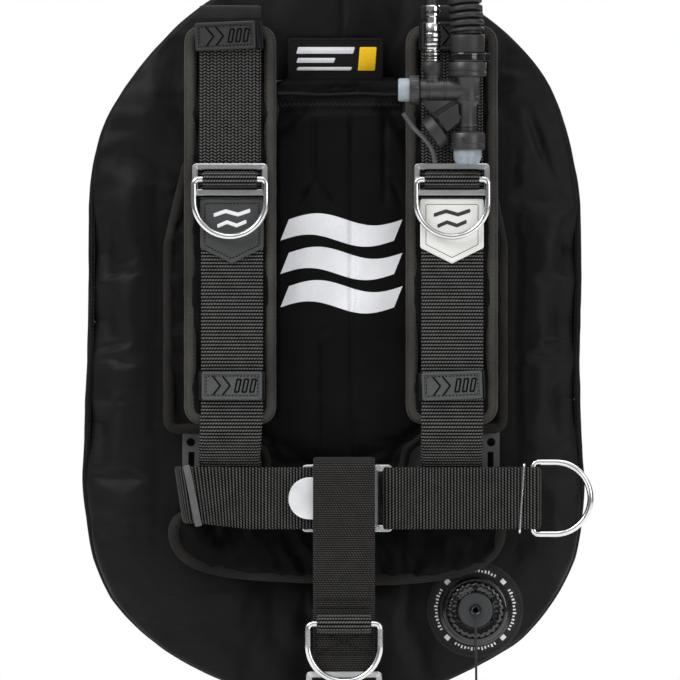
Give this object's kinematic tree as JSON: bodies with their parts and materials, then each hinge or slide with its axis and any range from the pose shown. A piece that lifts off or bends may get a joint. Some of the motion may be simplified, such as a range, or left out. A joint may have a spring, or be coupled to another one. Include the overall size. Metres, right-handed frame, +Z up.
{
  "type": "buoyancy compensator vest",
  "caption": "Buoyancy vest: metal backplate with webbing harness, padded straps, oval inflatable wing, hose inflator, pull dump valve and steel rings.",
  "frame": {"origin": "midway between the two tank bolt holes, on the rear face of the backplate's web", "axes": "+Z up along the wearer's back, -Y towards the wearer's chest, +X to the wearer's left"},
  "size_m": [0.421, 0.1802, 0.7977],
  "materials": {
    "plate": "matte dark grey coating on metal, light scuffs",
    "wing_fabric": "coated near-black nylon canvas, matte",
    "bladder_film": "thin clear-grey polyurethane film",
    "pad_fabric": "black padded mesh fabric, quilted",
    "webbing": "ribbed grey-black woven webbing",
    "binding": "brushed grey-brown edge binding",
    "steel": "polished stainless steel with fine scratches",
    "badge_rubber": "matte grey moulded rubber",
    "patch_grey": "dark grey moulded rubber with dashed stitching",
    "patch_white": "white moulded rubber with a thin black outline",
    "name_patch": "dark woven label with white and yellow bars",
    "inflator_plastic": "satin black moulded plastic",
    "button_grey": "bluish grey plastic with grip ribs",
    "hose_rubber": "black rubber",
    "coupler_chrome": "polished chrome-plated brass",
    "coupler_sleeve": "knurled steel sleeve",
    "valve_plastic": "glossy black moulded plastic",
    "valve_disc": "grey plastic disc",
    "cord": "black braided cord",
    "bungee": "grey braided elastic cord",
    "keeper_elastic": "black woven elastic"
  },
  "bodies": {
    "harness": {"backplate": "plate", "back_pad": "pad_fabric", "lumbar_pad": "pad_fabric", "wing_front_panel": "wing_fabric", "wing_rear_panel": "wing_fabric", "wing_bladder": "bladder_film", "wing_binding": "binding", "wing_center_panel": "wing_fabric", "name_patch": "name_patch", "waist_belt_left": "webbing", "waist_belt_right": "webbing", "belt_slide_right": "steel", "belt_slide_left": "steel", "buckle_frame": "steel", "buckle_pin": "steel", "crotch_strap": "webbing", "crotch_slider": "steel", "inflator_body": "inflator_plastic", "inflate_collar": "inflator_plastic", "mouthpiece": "hose_rubber", "hose_cuff": "hose_rubber", "hose_clamp": "inflator_plastic", "coupler_boot": "hose_rubber", "coupler_body": "coupler_chrome", "corrugated_hose": "hose_rubber", "feed_hose": "hose_rubber", "retainer_bungee": "bungee", "feed_fitting": "coupler_chrome", "wing_elbow": "inflator_plastic", "elbow_clamp": "inflator_plastic", "valve_base": "valve_plastic", "valve_cap": "valve_plastic", "shoulder_webbing_left": "webbing", "shoulder_pad_left": "binding", "shoulder_slider_left": "steel", "chest_patch_left": "patch_white", "shoulder_webbing_right": "webbing", "shoulder_pad_right": "binding", "shoulder_slider_right": "steel", "chest_patch_right": "patch_grey"},
    "shoulder_ring_left": {"shoulder_dring_left": "steel"},
    "shoulder_ring_right": {"shoulder_dring_right": "steel"},
    "hip_ring": {"hip_dring": "steel"},
    "crotch_ring": {"crotch_dring": "steel"},
    "buckle_lever": {"buckle_lever": "steel"},
    "inflate_button": {"inflate_button": "button_grey"},
    "deflate_button": {"deflate_button": "button_grey"},
    "coupler_sleeve": {"coupler_sleeve": "coupler_sleeve"},
    "dump_pull": {"valve_disc": "valve_disc", "pull_cord": "cord", "pull_knob": "valve_plastic"},
    "upper_keeper_left": {"upper_keeper_left": "keeper_elastic", "upper_badge_left": "badge_rubber"},
    "upper_keeper_right": {"upper_keeper_right": "keeper_elastic", "upper_badge_right": "badge_rubber"},
    "lower_keeper_left": {"lower_keeper_left": "keeper_elastic", "lower_badge_left": "badge_rubber"},
    "lower_keeper_right": {"lower_keeper_right": "keeper_elastic", "lower_badge_right": "badge_rubber"}
  },
  "joints": [
    {"name": "shoulder_ring_left_hinge", "type": "hinge", "parent": "harness", "child": "shoulder_ring_left", "pos_m": [0.091, -0.086, 0.107], "axis": [-1, 0, 0], "range_deg": [0, 105]},
    {"name": "shoulder_ring_right_hinge", "type": "hinge", "parent": "harness", "child": "shoulder_ring_right", "pos_m": [-0.091, -0.086, 0.107], "axis": [-1, 0, 0], "range_deg": [0, 120]},
    {"name": "hip_ring_hinge", "type": "hinge", "parent": "harness", "child": "hip_ring", "pos_m": [0.158, -0.0608, -0.1545], "axis": [0, 0, 1], "range_deg": [-75, 75]},
    {"name": "crotch_ring_hinge", "type": "hinge", "parent": "harness", "child": "crotch_ring", "pos_m": [0.0025, -0.093, -0.257], "axis": [-1, 0, 0], "range_deg": [0, 90]},
    {"name": "buckle_lever_hinge", "type": "hinge", "parent": "harness", "child": "buckle_lever", "pos_m": [0.027, -0.0748, -0.1545], "axis": [0, 0, 1], "range_deg": [0, 8]},
    {"name": "inflate_button_slide", "type": "slide", "parent": "harness", "child": "inflate_button", "axis": [1, 0, 0], "range_m": [0, 0.004], "stiffness_N_per_m": 800},
    {"name": "deflate_button_slide", "type": "slide", "parent": "harness", "child": "deflate_button", "axis": [0, 0, 1], "range_m": [0, 0.005], "stiffness_N_per_m": 700},
    {"name": "coupler_sleeve_slide", "type": "slide", "parent": "harness", "child": "coupler_sleeve", "axis": [0, 0, 1], "range_m": [0, 0.0045], "stiffness_N_per_m": 900},
    {"name": "dump_pull_slide", "type": "slide", "parent": "harness", "child": "dump_pull", "axis": [0, -1, 0], "range_m": [0, 0.004], "stiffness_N_per_m": 900},
    {"name": "upper_keeper_left_slide", "type": "slide", "parent": "harness", "child": "upper_keeper_left", "axis": [0, 0, 1], "range_m": [-0.024, 0.002]},
    {"name": "upper_keeper_right_slide", "type": "slide", "parent": "harness", "child": "upper_keeper_right", "axis": [0, 0, 1], "range_m": [-0.024, 0.002]},
    {"name": "lower_keeper_left_slide", "type": "slide", "parent": "harness", "child": "lower_keeper_left", "axis": [0, 0, 1], "range_m": [-0.008, 0.08]},
    {"name": "lower_keeper_right_slide", "type": "slide", "parent": "harness", "child": "lower_keeper_right", "axis": [0, 0, 1], "range_m": [-0.008, 0.08]}
  ]
}
